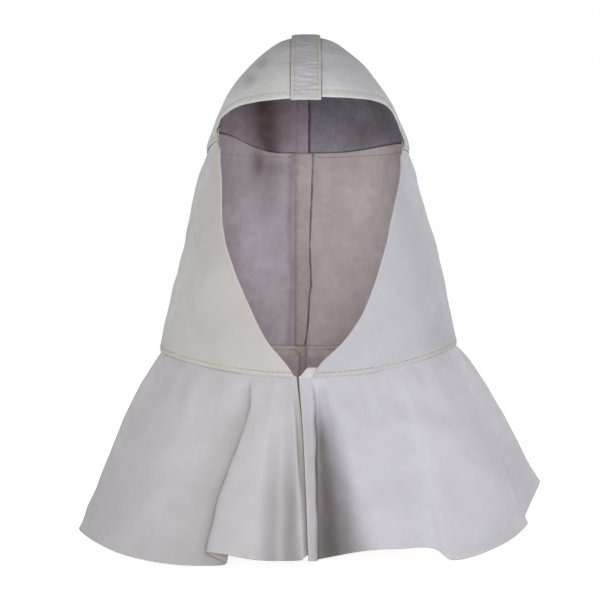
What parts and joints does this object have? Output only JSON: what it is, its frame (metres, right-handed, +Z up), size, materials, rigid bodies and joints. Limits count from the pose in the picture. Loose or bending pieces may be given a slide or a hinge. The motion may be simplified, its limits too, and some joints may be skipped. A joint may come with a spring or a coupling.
{
  "type": "leather welding hood",
  "caption": "Pale grey leather welding hood: domed crown with a seam strip, side panels round a face opening, and a flared shoulder cape slit at the front.",
  "frame": {"origin": "inside the top of the crown, where the wearer's head bears", "axes": "+Z up, -Y out of the face opening, +X to the right as seen from the front"},
  "size_m": [0.4589, 0.352, 0.5082],
  "materials": {
    "grain_leather": "pale grey grain side, matt",
    "suede": "flesh side, napped",
    "thread": "pale tan sewing thread"
  },
  "bodies": {
    "root": {"crown_left": "grain_leather", "crown_right": "grain_leather", "crown_strip": "grain_leather", "side_panel_left": "grain_leather", "side_panel_right": "grain_leather", "cape_left": "grain_leather", "cape_right": "grain_leather", "crown_seam_flap": "suede", "back_seam_flap": "suede", "cape_seam_flap": "suede"}
  },
  "joints": []
}
